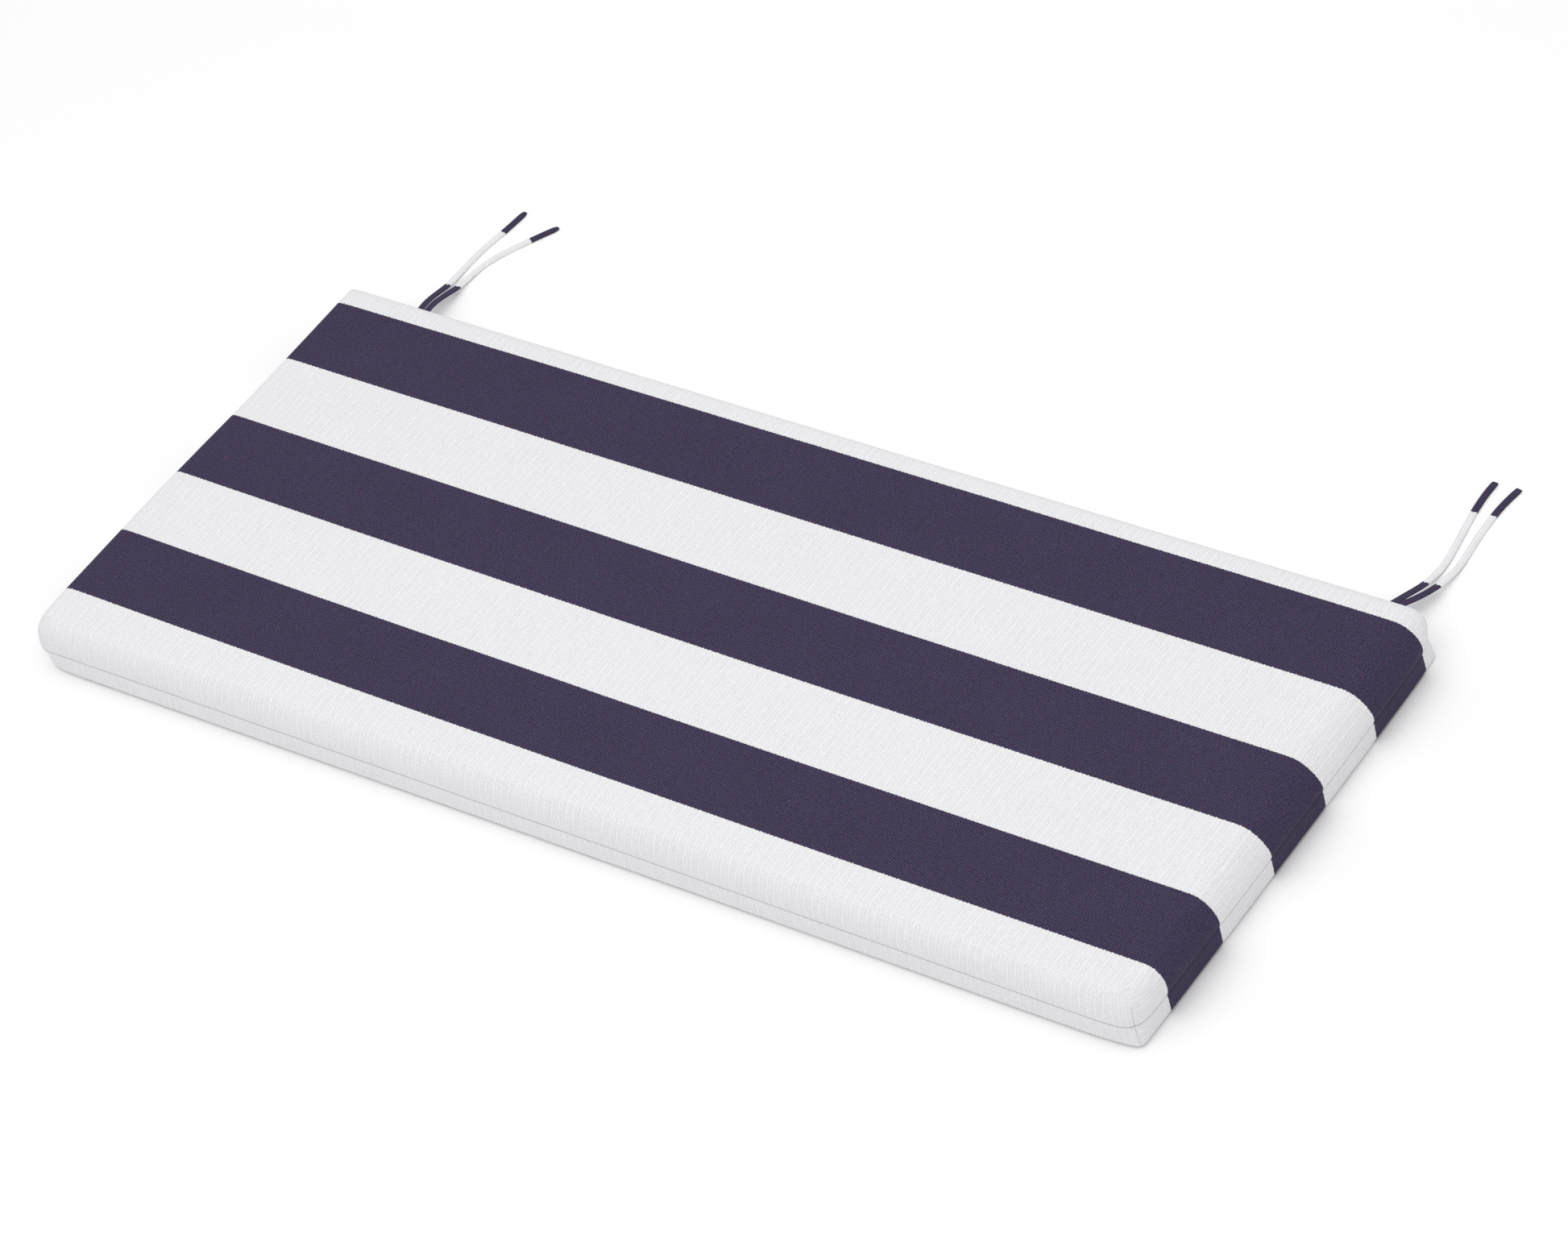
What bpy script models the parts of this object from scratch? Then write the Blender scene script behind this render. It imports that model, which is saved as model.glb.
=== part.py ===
"""Bench cushion with two pairs of tie strips, in metres, +Z up.

The cushion lies on its back on the surface.  X runs along its length, -Y is the
front and +Y the back edge, where the ties are sewn into the seam.  The origin is the
middle of the footprint.
"""

import math

import bmesh
import bpy
from mathutils import Vector

# Driving dimensions of the cushion.
LENGTH = 1.1176  # seam to seam along X
DEPTH = 0.4572  # seam to seam along Y
EDGE_HEIGHT = 0.0505  # top of the cushion just inside its rolled edge
CROWN = 0.0030  # how much higher the middle of the top stands
SEAM_HEIGHT = 0.0210  # the one seam, which joins the top panel to the bottom panel
DRAWN_IN = 0.0012  # how far the sides pull in between the corners
SMOOTHING = 2  # subdivision levels of the cushion's cage

# Rows of the cage down a side: height above the floor, distance outside the seam line
# along the front and back, then at the ends where the roll is tight (near the front)
# and where it is soft (behind), and the rounding in plan at each corner (front right,
# front left, back right, back left).
SIDE_ROWS = (
    {"name": "fold", "height": 0.0480, "long": -0.0070, "tight": -0.0060, "soft": -0.0140,
     "rounding": (0.022, 0.021, 0.022, 0.010)},
    {"name": "shoulder", "height": 0.0400, "long": -0.0005, "tight": 0.0000, "soft": -0.0045,
     "rounding": (0.022, 0.021, 0.024, 0.014)},
    {"name": "swell", "height": 0.0290, "long": 0.0015, "tight": 0.0015, "soft": 0.0005,
     "rounding": (0.022, 0.021, 0.028, 0.018)},
    {"name": "seam", "height": SEAM_HEIGHT, "long": -0.0010, "tight": -0.0010, "soft": -0.0010,
     "rounding": (0.022, 0.018, 0.032, 0.020)},
    {"name": "tuck", "height": 0.0130, "long": 0.0015, "tight": 0.0005, "soft": 0.0005,
     "rounding": (0.014, 0.018, 0.026, 0.020)},
    {"name": "foot", "height": 0.0050, "long": 0.0010, "tight": -0.0010, "soft": -0.0010,
     "rounding": (0.004, 0.018, 0.030, 0.020)},
    {"name": "rim", "height": 0.0000, "long": -0.0015, "tight": -0.0035, "soft": -0.0035,
     "rounding": (0.002, 0.020, 0.036, 0.020)},
)
TIGHT_TO_SOFT = (-0.19, -0.05)  # the stretch along Y over which the ends' roll softens
TOP_INSETS = (0.016, 0.036)  # cage lines on the top that shape the rolled edge
SOFT_INSETS = (0.028, 0.054)  # where they lie at the ends where the roll is soft
BOTTOM_INSETS = (0.008, 0.030)  # where the same lines lie on the flat underside
SPAN_CUTS_X = (-0.28, 0.04, 0.28)  # off centre, so the origin is inside a flat face
SPAN_CUTS_Y = (-0.075, 0.06)
CORNERS = ((False, False), (False, True), (True, False), (True, True))  # (back, left)
SEAM_CREASE = 1.0
DART_CREASE = 0.7

# Ties: flat strips of the cover's cloth, two at each end of the back seam.  Each route
# leaves the seam groove, sinks to the floor and lies there, in metres.
TIE_WIDTH = 0.0063
TIE_THICKNESS = 0.0016
TIE_EDGE_STEPS = 2  # roundness of a tie's folded edges
TIE_SPACING = 2 * TIE_WIDTH  # between the points read from a route's smooth curve
READ_STEPS = 8  # how finely the smooth curve is read between two route points
TIE_ROUTES = {
    "tie_left_outer": (
        (-0.4900, 0.2283, 0.0210), (-0.4912, 0.2370, 0.0202), (-0.4935, 0.2465, 0.0174),
        (-0.4965, 0.2570, 0.0144), (-0.4990, 0.2680, 0.0112), (-0.5010, 0.2790, 0.0078),
        (-0.5030, 0.2905, 0.0046), (-0.5042, 0.3025, 0.0025), (-0.5050, 0.3150, 0.0014),
        (-0.5050, 0.3270, 0.0010), (-0.5043, 0.3400, 0.0010), (-0.5027, 0.3530, 0.0010),
        (-0.5005, 0.3655, 0.0010), (-0.4987, 0.3775, 0.0010), (-0.4973, 0.3885, 0.0010),
        (-0.4960, 0.4000, 0.0010),
    ),
    "tie_left_inner": (
        (-0.4832, 0.2283, 0.0210), (-0.4843, 0.2370, 0.0202), (-0.4862, 0.2460, 0.0178),
        (-0.4888, 0.2565, 0.0152), (-0.4905, 0.2670, 0.0124), (-0.4914, 0.2790, 0.0086),
        (-0.4921, 0.2915, 0.0050), (-0.4927, 0.3035, 0.0028), (-0.4923, 0.3150, 0.0015),
        (-0.4904, 0.3265, 0.0010), (-0.4868, 0.3370, 0.0010), (-0.4816, 0.3480, 0.0010),
        (-0.4755, 0.3590, 0.0010), (-0.4687, 0.3700, 0.0010), (-0.4613, 0.3818, 0.0010),
        (-0.4537, 0.3932, 0.0010),
    ),
    "tie_right_inner": (
        (0.4990, 0.2274, 0.0210), (0.4999, 0.2370, 0.0202), (0.5010, 0.2465, 0.0178),
        (0.5024, 0.2580, 0.0144), (0.5044, 0.2700, 0.0106), (0.5060, 0.2820, 0.0068),
        (0.5070, 0.2940, 0.0036), (0.5072, 0.3060, 0.0018), (0.5064, 0.3190, 0.0011),
        (0.5047, 0.3320, 0.0010), (0.5027, 0.3450, 0.0010), (0.5008, 0.3580, 0.0010),
        (0.4990, 0.3710, 0.0010), (0.4978, 0.3840, 0.0010), (0.4974, 0.3970, 0.0010),
        (0.4980, 0.4098, 0.0010),
    ),
    "tie_right_outer": (
        (0.5058, 0.2274, 0.0210), (0.5068, 0.2365, 0.0203), (0.5090, 0.2460, 0.0183),
        (0.5125, 0.2565, 0.0152), (0.5156, 0.2680, 0.0117), (0.5177, 0.2800, 0.0083),
        (0.5190, 0.2920, 0.0053), (0.5195, 0.3040, 0.0030), (0.5193, 0.3165, 0.0016),
        (0.5182, 0.3300, 0.0010), (0.5169, 0.3440, 0.0010), (0.5162, 0.3580, 0.0010),
        (0.5161, 0.3715, 0.0010), (0.5166, 0.3850, 0.0010), (0.5182, 0.3975, 0.0010),
        (0.5205, 0.4098, 0.0010),
    ),
}

NAVY = (0.047, 0.036, 0.090)  # linear colours of the cloth's two stripes
WHITE = (0.80, 0.80, 0.81)
CLOTH_ROUGHNESS = 0.85
SAME_LINE = 1e-5  # two cage coordinates nearer than this are the same line


def clear_scene():
    """Start from an empty scene."""
    for thing in list(bpy.data.objects):
        bpy.data.objects.remove(thing, do_unlink=True)


def cloth(name, colour):
    """Woven cloth: one colour, rough, not metallic."""
    material = bpy.data.materials.new(name)
    material.use_nodes = True
    shader = material.node_tree.nodes["Principled BSDF"]
    shader.inputs["Base Color"].default_value = (*colour, 1.0)
    shader.inputs["Roughness"].default_value = CLOTH_ROUGHNESS
    shader.inputs["Metallic"].default_value = 0.0
    material.diffuse_color = (*colour, 1.0)
    return material


def cut_across(cage, axis, place):
    """Cut the whole box by the plane where the axis has the value place."""
    point = Vector((0.0, 0.0, 0.0))
    point[axis] = place
    normal = Vector((0.0, 0.0, 0.0))
    normal[axis] = 1.0
    everything = cage.verts[:] + cage.edges[:] + cage.faces[:]
    bmesh.ops.bisect_plane(cage, geom=everything, plane_co=point, plane_no=normal)


def cage_box(half_length, half_depth):
    """A box on the floor, cut into the cage's grid of rows and lines."""
    top = SIDE_ROWS[0]["height"]
    cage = bmesh.new()
    bmesh.ops.create_cube(cage, size=1.0)
    bmesh.ops.scale(cage, vec=(2 * half_length, 2 * half_depth, top), verts=cage.verts)
    bmesh.ops.translate(cage, vec=(0.0, 0.0, top / 2), verts=cage.verts)
    for inset in TOP_INSETS:
        for side in (-1, 1):
            cut_across(cage, 0, side * (half_length - inset))
            cut_across(cage, 1, side * (half_depth - inset))
    for place in SPAN_CUTS_X:
        cut_across(cage, 0, place)
    for place in SPAN_CUTS_Y:
        cut_across(cage, 1, place)
    for row in SIDE_ROWS[1:-1]:
        cut_across(cage, 2, row["height"])
    return cage


def near(a, b):
    """True where two cage coordinates are the same line."""
    return abs(a - b) < SAME_LINE


def drawn_in(along, half_span):
    """How far a side is pulled in at a place along it."""
    return DRAWN_IN * (1.0 - (along / half_span) ** 2)


def rounded(x, y, half_length, half_depth, rounding):
    """A point of a ring, moved in where the ring's corner is rounded in plan."""
    radius = rounding[CORNERS.index((y > 0.0, x < 0.0))]
    past_x = abs(x) - (half_length - radius)
    past_y = abs(y) - (half_depth - radius)
    if past_x <= 0.0 or past_y <= 0.0:
        return x, y
    shrink = radius / math.hypot(past_x, past_y)
    x = math.copysign(half_length - radius + past_x * shrink, x)
    y = math.copysign(half_depth - radius + past_y * shrink, y)
    return x, y


def softness(y):
    """0 where the ends' roll is tight, 1 where it is soft."""
    start, finish = TIGHT_TO_SOFT
    part = min(max((y - start) / (finish - start), 0.0), 1.0)
    return part * part * (3.0 - 2.0 * part)


def shaped_side(x, y, z, half_length, half_depth):
    """Where a point of the box's sides goes on the soft cushion."""
    row = next(r for r in SIDE_ROWS if near(r["height"], z))
    on_end = near(abs(x), half_length)
    on_long = near(abs(y), half_depth)
    end_out = row["tight"] + (row["soft"] - row["tight"]) * softness(y)
    long_out = row["long"]
    x, y = rounded(x, y, half_length, half_depth, row["rounding"])
    if on_end:
        x += math.copysign(1.0, x) * (end_out - drawn_in(y, half_depth))
    if on_long:
        y += math.copysign(1.0, y) * (long_out - drawn_in(x, half_length))
    return Vector((x, y, z))


def shaped_top(x, y, half_length, half_depth):
    """Where a point of the box's top goes: a shallow crown, soft at the ends."""
    for tight_inset, soft_inset in zip(TOP_INSETS, SOFT_INSETS):
        if near(abs(x), half_length - tight_inset):
            inset = tight_inset + (soft_inset - tight_inset) * softness(y)
            x = math.copysign(half_length - inset, x)
    rise = (1.0 - (x / half_length) ** 2) * (1.0 - (y / half_depth) ** 2)
    return Vector((x, y, EDGE_HEIGHT + CROWN * rise))


def shaped_bottom(x, y, half_length, half_depth):
    """Where a point of the underside goes: flat, its outer lines near the rim."""
    for top_inset, bottom_inset in zip(TOP_INSETS, BOTTOM_INSETS):
        if near(abs(x), half_length - top_inset):
            x = math.copysign(half_length - bottom_inset, x)
        if near(abs(y), half_depth - top_inset):
            y = math.copysign(half_depth - bottom_inset, y)
    x, y = rounded(x, y, half_length, half_depth, SIDE_ROWS[-1]["rounding"])
    return Vector((x, y, 0.0))


def shaped(place, half_length, half_depth):
    """Where a point of the box goes on the soft cushion."""
    x, y, z = place
    if near(abs(x), half_length) or near(abs(y), half_depth):
        return shaped_side(x, y, z, half_length, half_depth)
    if near(z, 0.0):
        return shaped_bottom(x, y, half_length, half_depth)
    return shaped_top(x, y, half_length, half_depth)


def crease_seams(cage, half_length, half_depth):
    """Crease the seam all round, and the sewn dart at each corner."""
    layer = cage.edges.layers.float.new("crease_edge")
    for edge in cage.edges:
        ends = [vert.co for vert in edge.verts]
        if all(near(end.z, SEAM_HEIGHT) for end in ends):
            edge[layer] = SEAM_CREASE
        if all(near(abs(end.x), half_length) and near(abs(end.y), half_depth) for end in ends):
            edge[layer] = DART_CREASE


def build_cushion():
    """One filled solid: rolled top edge, seam all round, darted corners, flat base."""
    half_length = LENGTH / 2
    half_depth = DEPTH / 2
    cage = cage_box(half_length, half_depth)
    crease_seams(cage, half_length, half_depth)
    for vert in cage.verts:
        vert.co = shaped(vert.co.copy(), half_length, half_depth)
    mesh = bpy.data.meshes.new("cushion")
    cage.to_mesh(mesh)
    cage.free()
    cushion = bpy.data.objects.new("cushion", mesh)
    bpy.context.scene.collection.objects.link(cushion)
    smoothing = cushion.modifiers.new("smoothing", "SUBSURF")
    smoothing.levels = SMOOTHING
    smoothing.render_levels = SMOOTHING
    mesh.materials.append(cloth("cloth_of_cover", WHITE))
    mesh.shade_smooth()
    return cushion


def read_smooth(route):
    """Points close together on a smooth curve through the route's points."""
    knots = [Vector(point) for point in route]
    before = knots[0] * 2 - knots[1]
    after = knots[-1] * 2 - knots[-2]
    knots = [before] + knots + [after]
    points = []
    for index in range(1, len(knots) - 2):
        a, b, c, d = knots[index - 1:index + 3]
        for step in range(READ_STEPS):
            t = step / READ_STEPS
            curve = b * 2 + (c - a) * t
            curve += (a * 2 - b * 5 + c * 4 - d) * t ** 2
            curve += (b * 3 - a - c * 3 + d) * t ** 3
            points.append(curve / 2)
    points.append(knots[-2])
    return points


def evenly_spaced(points, spacing):
    """Points along the line at even steps of about the spacing, both ends kept."""
    lengths = [(b - a).length for a, b in zip(points, points[1:])]
    steps = round(sum(lengths) / spacing)
    step = sum(lengths) / steps
    kept = [points[0]]
    passed = 0.0
    for start, finish, length in zip(points, points[1:], lengths):
        while len(kept) < steps and passed + length >= step * len(kept):
            kept.append(start.lerp(finish, (step * len(kept) - passed) / length))
        passed += length
    kept.append(points[-1])
    return kept


def build_tie(name, route):
    """One flat tie: a strip folded from the cover's cloth, laid on its route."""
    points = evenly_spaced(read_smooth(route), TIE_SPACING)
    curve = bpy.data.curves.new(name, "CURVE")
    curve.dimensions = "3D"
    curve.twist_mode = "Z_UP"
    curve.bevel_depth = TIE_THICKNESS / 2
    curve.bevel_resolution = TIE_EDGE_STEPS
    curve.extrude = (TIE_WIDTH - TIE_THICKNESS) / 2
    curve.use_fill_caps = True
    strip = curve.splines.new("POLY")
    strip.points.add(len(points) - 1)
    for target, point in zip(strip.points, points):
        target.co = (*point, 1.0)
        target.tilt = math.radians(90.0)
    tie = bpy.data.objects.new(name, curve)
    bpy.context.scene.collection.objects.link(tie)
    curve.materials.append(cloth("cloth_of_" + name, NAVY))
    return tie


def main():
    """Build every piece."""
    clear_scene()
    build_cushion()
    for name, route in TIE_ROUTES.items():
        build_tie(name, route)


main()
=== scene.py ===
"""Bench cushion in striped woven cloth, with its four ties, lying on a pale studio floor.

Laid out as an add-on: property groups hold the sizes and colours, one operator makes the
stage, one the ties and one the cushion, and a panel in the sidebar lists them.  Run as a
script it makes everything in order.  All lengths are in metres.
"""

import math

import bmesh
import bpy
from bpy.props import FloatProperty, FloatVectorProperty, PointerProperty
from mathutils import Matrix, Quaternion, Vector, noise


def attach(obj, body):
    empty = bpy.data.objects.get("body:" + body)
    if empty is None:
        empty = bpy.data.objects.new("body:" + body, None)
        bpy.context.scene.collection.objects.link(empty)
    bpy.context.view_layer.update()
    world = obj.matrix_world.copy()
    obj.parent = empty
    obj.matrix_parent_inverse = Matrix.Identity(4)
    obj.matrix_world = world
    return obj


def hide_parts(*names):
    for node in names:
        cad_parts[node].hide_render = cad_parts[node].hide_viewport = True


bl_info = {
    "name": "Bench cushion",
    "version": (1, 0, 0),
    "blender": (4, 5, 0),
    "location": "3D View > Sidebar > Cushion",
    "description": "Makes a striped bench cushion with ties, and a plain studio round it",
    "category": "Object",
}

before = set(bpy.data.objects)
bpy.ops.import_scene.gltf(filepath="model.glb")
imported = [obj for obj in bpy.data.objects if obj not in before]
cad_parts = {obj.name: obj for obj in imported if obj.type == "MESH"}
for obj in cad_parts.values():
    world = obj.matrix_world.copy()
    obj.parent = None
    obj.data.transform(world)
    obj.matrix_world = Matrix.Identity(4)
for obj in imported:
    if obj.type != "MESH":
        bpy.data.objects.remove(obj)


def linear(code):
    """An sRGB hex colour as three linear numbers."""
    parts = [((code >> shift) & 255) / 255 for shift in (16, 8, 0)]
    return tuple(
        part / 12.92 if part <= 0.04045 else ((part + 0.055) / 1.055) ** 2.4
        for part in parts
    )


# ---------------------------------------------------------------- sizes and colours


class CushionSizes(bpy.types.PropertyGroup):
    """Sizes of the filled cover."""

    length: FloatProperty(
        name="Length", description="Seam to seam along the cushion", default=1.1176,
        unit="LENGTH",
    )
    depth: FloatProperty(
        name="Depth", description="Seam to seam from front to back", default=0.4572,
        unit="LENGTH",
    )
    edge_height: FloatProperty(
        name="Edge height", description="Height of the top just inside its rolled edge",
        default=0.0505, unit="LENGTH",
    )
    crown: FloatProperty(
        name="Crown", description="How much higher the middle of the top stands",
        default=0.0030, unit="LENGTH",
    )
    drawn_in: FloatProperty(
        name="Drawn in", description="How far front and back pull in between the corners",
        default=0.0010, unit="LENGTH",
    )
    end_swell: FloatProperty(
        name="End swell", description="How far the ends stand out between the corners",
        default=0.0018, unit="LENGTH",
    )
    seam_depth: FloatProperty(
        name="Seam depth", description="Depth of the fine groove along the seam",
        default=0.0004, unit="LENGTH",
    )
    dart_depth: FloatProperty(
        name="Dart depth", description="Depth of the sewn crease down each corner",
        default=0.0006, unit="LENGTH",
    )
    unevenness: FloatProperty(
        name="Unevenness", description="Height of the soft waves in the padded cloth",
        default=0.00035, unit="LENGTH",
    )


class TieSizes(bpy.types.PropertyGroup):
    """Sizes of a tie strip."""

    width: FloatProperty(
        name="Width", description="Width of the folded strip", default=0.0063,
        unit="LENGTH",
    )
    thickness: FloatProperty(
        name="Thickness", description="Thickness of the folded strip", default=0.0016,
        unit="LENGTH",
    )


class ClothColours(bpy.types.PropertyGroup):
    """Colours of the woven cloth."""

    white: FloatVectorProperty(
        name="White yarn", description="The undyed stripes", subtype="COLOR",
        default=linear(0xE4E4E6),
    )
    navy: FloatVectorProperty(
        name="Navy yarn", description="The dyed stripes", subtype="COLOR",
        default=linear(0x40374E),
    )
    navy_warm: FloatVectorProperty(
        name="Warm navy yarn", description="Reddish flecks in the dyed stripes",
        subtype="COLOR", default=linear(0x45354B),
    )
    navy_cool: FloatVectorProperty(
        name="Cool navy yarn", description="Bluish flecks in the dyed stripes",
        subtype="COLOR", default=linear(0x383753),
    )


class StudioSettings(bpy.types.PropertyGroup):
    """Floor and light."""

    floor: FloatVectorProperty(
        name="Floor", description="Colour of the plain floor", subtype="COLOR",
        default=linear(0xFCFCFC),
    )
    ceiling: FloatProperty(
        name="Ceiling light", description="Power of the very large light overhead",
        default=57.0, unit="POWER",
    )
    key: FloatProperty(
        name="Key light", description="Power of the light in front", default=8.5,
        unit="POWER",
    )
    fill: FloatProperty(
        name="Fill light", description="Strength of the even light from all round",
        default=0.67,
    )


# ---------------------------------------------------------------- the photograph's view

CAMERA_AIM = (0.02996, 0.04949, 0.0)
CAMERA_AZIMUTH = 46.498  # degrees round from the front towards the right end
CAMERA_ELEVATION = 42.408
CAMERA_ROLL = -17.488
CAMERA_DISTANCE = 5.3244
CAMERA_LENS = 149.44  # millimetres, on a sensor 36 mm wide
CEILING_PLACE = (0.0, -0.2, 3.2)
CEILING_SIZE = 5.5
KEY_PLACE = (0.35, -1.25, 2.6)
KEY_SIZE = 2.2
FLOOR_SIZE = 16.0
FLOOR_DROP = 0.0001  # keeps the floor from sharing the cushion's flat underside

# ---------------------------------------------------------------- the ties

# Each tie's route from the seam down to the floor and along it, and how far along the
# strip its cloth changes from navy to white and back.
TIES = {
    "tie_left_outer": {
        "route": (
            (-0.4900, 0.2283, 0.0210), (-0.4922, 0.2370, 0.0202),
            (-0.4957, 0.2465, 0.0174), (-0.4988, 0.2570, 0.0144),
            (-0.5007, 0.2680, 0.0112), (-0.5019, 0.2790, 0.0078),
            (-0.5030, 0.2905, 0.0046), (-0.5042, 0.3025, 0.0025),
            (-0.5050, 0.3150, 0.0014), (-0.5050, 0.3270, 0.0010),
            (-0.5043, 0.3400, 0.0010), (-0.5027, 0.3530, 0.0010),
            (-0.5005, 0.3655, 0.0010), (-0.4987, 0.3775, 0.0010),
            (-0.4973, 0.3885, 0.0010), (-0.4960, 0.4000, 0.0010),
        ),
        "white": (0.0670, 0.1460), "tip": 0.45,
    },
    "tie_left_inner": {
        "route": (
            (-0.4832, 0.2283, 0.0210), (-0.4852, 0.2370, 0.0202),
            (-0.4882, 0.2460, 0.0178), (-0.4906, 0.2565, 0.0152),
            (-0.4917, 0.2670, 0.0124), (-0.4921, 0.2790, 0.0086),
            (-0.4921, 0.2915, 0.0050), (-0.4927, 0.3035, 0.0028),
            (-0.4923, 0.3150, 0.0015), (-0.4904, 0.3265, 0.0010),
            (-0.4868, 0.3370, 0.0010), (-0.4816, 0.3480, 0.0010),
            (-0.4755, 0.3590, 0.0010), (-0.4687, 0.3700, 0.0010),
            (-0.4613, 0.3818, 0.0010), (-0.4537, 0.3932, 0.0010),
        ),
        "white": (0.0670, 0.1505), "tip": 0.45,
    },
    "tie_right_inner": {
        "route": (
            (0.4990, 0.2274, 0.0210), (0.4999, 0.2370, 0.0202),
            (0.5019, 0.2465, 0.0178), (0.5037, 0.2580, 0.0144),
            (0.5056, 0.2700, 0.0106), (0.5067, 0.2820, 0.0068),
            (0.5070, 0.2940, 0.0036), (0.5072, 0.3060, 0.0018),
            (0.5064, 0.3190, 0.0011), (0.5047, 0.3320, 0.0010),
            (0.5027, 0.3450, 0.0010), (0.5008, 0.3580, 0.0010),
            (0.4990, 0.3710, 0.0010), (0.4978, 0.3840, 0.0010),
            (0.4974, 0.3970, 0.0010), (0.4980, 0.4098, 0.0010),
        ),
        "white": (0.0590, 0.1490), "tip": 0.85,
    },
    "tie_right_outer": {
        "route": (
            (0.5058, 0.2274, 0.0210), (0.5068, 0.2365, 0.0203),
            (0.5090, 0.2460, 0.0183), (0.5125, 0.2565, 0.0152),
            (0.5156, 0.2680, 0.0117), (0.5177, 0.2800, 0.0083),
            (0.5190, 0.2920, 0.0053), (0.5195, 0.3040, 0.0030),
            (0.5193, 0.3165, 0.0016), (0.5182, 0.3300, 0.0010),
            (0.5169, 0.3440, 0.0010), (0.5162, 0.3580, 0.0010),
            (0.5161, 0.3715, 0.0010), (0.5166, 0.3850, 0.0010),
            (0.5182, 0.3975, 0.0010), (0.5205, 0.4098, 0.0010),
        ),
        "white": (0.0600, 0.1510), "tip": 0.85,
    },
}
TIE_STEP = 0.0030  # between the cuts along a tie
TIE_EDGE = 0.0007  # from a tie's edge to the cut that keeps its face flat
TIE_TIP = 0.6  # length of a tie's narrowing tip, in its own widths
READ_STEPS = 8  # how finely a route's smooth curve is read between two of its points

# ---------------------------------------------------------------- the cushion's cage

SEAM_HEIGHT = 0.0210
# Rows of the cage down a side: height above the floor, distance outside the seam line
# along the front and back, then at the ends: near the front, where the roll is tight,
# and behind, where it is soft at the right end and folds over a slanting side at the
# left.  Then the rounding in plan at each corner (front right, front left, back right,
# back left).  "dart" is how deep the corner's crease is there, "dart_shade" how dark the
# painted shade along that crease is, and "swell" the share of the ends' swell; the roll is
# drawn in.
SIDE_ROWS = (
    {"height": 0.0480, "long": -0.0070, "tight": -0.0060, "soft": -0.0140,
     "fold": -0.0132, "rounding": (0.024, 0.019, 0.012, 0.004),
     "dart": 0.0, "dart_shade": 0.5, "swell": -0.6},
    {"height": 0.0400, "long": -0.0005, "tight": 0.0000, "soft": -0.0045,
     "fold": -0.0080, "rounding": (0.027, 0.018, 0.017, 0.006),
     "dart": 0.3, "dart_shade": 1.0, "swell": -0.5},
    {"height": 0.0290, "long": 0.0018, "tight": 0.0004, "soft": 0.0000,
     "fold": -0.0030, "rounding": (0.024, 0.018, 0.032, 0.012),
     "dart": 1.0, "dart_shade": 1.0, "swell": 0.4},
    {"height": 0.0227, "long": 0.0009, "tight": -0.0017, "soft": -0.0020,
     "fold": -0.0024, "rounding": (0.020, 0.012, 0.031, 0.020),
     "dart": 1.0, "dart_shade": 1.0, "swell": 1.0},
    {"height": SEAM_HEIGHT, "long": 0.0004, "tight": -0.0024, "soft": -0.0028,
     "fold": -0.0028, "rounding": (0.019, 0.009, 0.031, 0.020),
     "dart": 1.0, "dart_shade": 1.0, "swell": 1.0},
    {"height": 0.0193, "long": 0.0009, "tight": -0.0022, "soft": -0.0026,
     "fold": -0.0026, "rounding": (0.018, 0.013, 0.031, 0.020),
     "dart": 1.0, "dart_shade": 1.0, "swell": 1.0},
    {"height": 0.0130, "long": 0.0011, "tight": -0.0025, "soft": -0.0029,
     "fold": -0.0029, "rounding": (0.012, 0.019, 0.028, 0.020),
     "dart": 1.0, "dart_shade": 1.0, "swell": 1.0},
    {"height": 0.0050, "long": 0.0018, "tight": -0.0025, "soft": -0.0031,
     "fold": -0.0031, "rounding": (0.006, 0.022, 0.024, 0.020),
     "dart": 1.0, "dart_shade": 1.0, "swell": 1.0},
    {"height": 0.0000, "long": 0.0016, "tight": -0.0028, "soft": -0.0036,
     "fold": -0.0036, "rounding": (0.004, 0.024, 0.024, 0.020),
     "dart": 0.5, "dart_shade": 1.0, "swell": 1.0},
)
TIP_PULL = 0.0040  # how far the front's bottom edge is pulled in at its right corner
TIP_REACH = 0.055  # and how far from the corner the pull reaches
TIP_HEIGHT = 0.0290  # the pull grows from none at this height to all of it at the floor
RIM_LIFT = 0.0032  # the cloth's bottom fold stands this much off the floor
RIM_CREASE = 0.5  # how sharply that fold is creased, 1 being quite sharp
# The stretches along Y over which the ends' roll softens.
SOFTENS_RIGHT = (-0.19, -0.05)
SOFTENS_LEFT = (-0.09, 0.14)
# Cage lines near the edges: where they cut the sides, and where the same lines lie on
# the top along the front and back and at the ends, and underneath.
EDGE_LINES = (
    {"cut": 0.005, "long": 0.0115, "tight": 0.0110, "soft": 0.0210, "fold": 0.0165,
     "under": 0.0115},
    {"cut": 0.016, "long": 0.0160, "tight": 0.0160, "soft": 0.0280, "fold": 0.0240,
     "under": 0.0160},
    {"cut": 0.036, "long": 0.0360, "tight": 0.0360, "soft": 0.0540, "fold": 0.0500,
     "under": 0.0360},
)
CORNER_REACH = 0.036  # how far round a corner the next wall's shape is still followed
TOP_LINE_DROP = 0.0006  # how much lower the outermost line of the top lies
SPAN_STEP_X = 0.080  # between the cage's lines across the length
SPAN_STEP_Y = 0.070  # and across the depth
CORNERS = ((False, False), (False, True), (True, False), (True, True))  # (back, left)
HALF_WAY_ROUND = math.sqrt(0.5)  # share of a radius along each axis, half way round a corner
SAME_LINE = 1e-5  # two cage coordinates nearer than this are the same line
SMOOTHING = 3  # subdivision levels of the cage
WAVE_START = 0.004  # the padded cloth's waves grow from this height to twice it
BROAD_WAVE = 0.110  # size of the broad waves
SMALL_WAVE = 0.035  # and of the small ones on them
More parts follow.
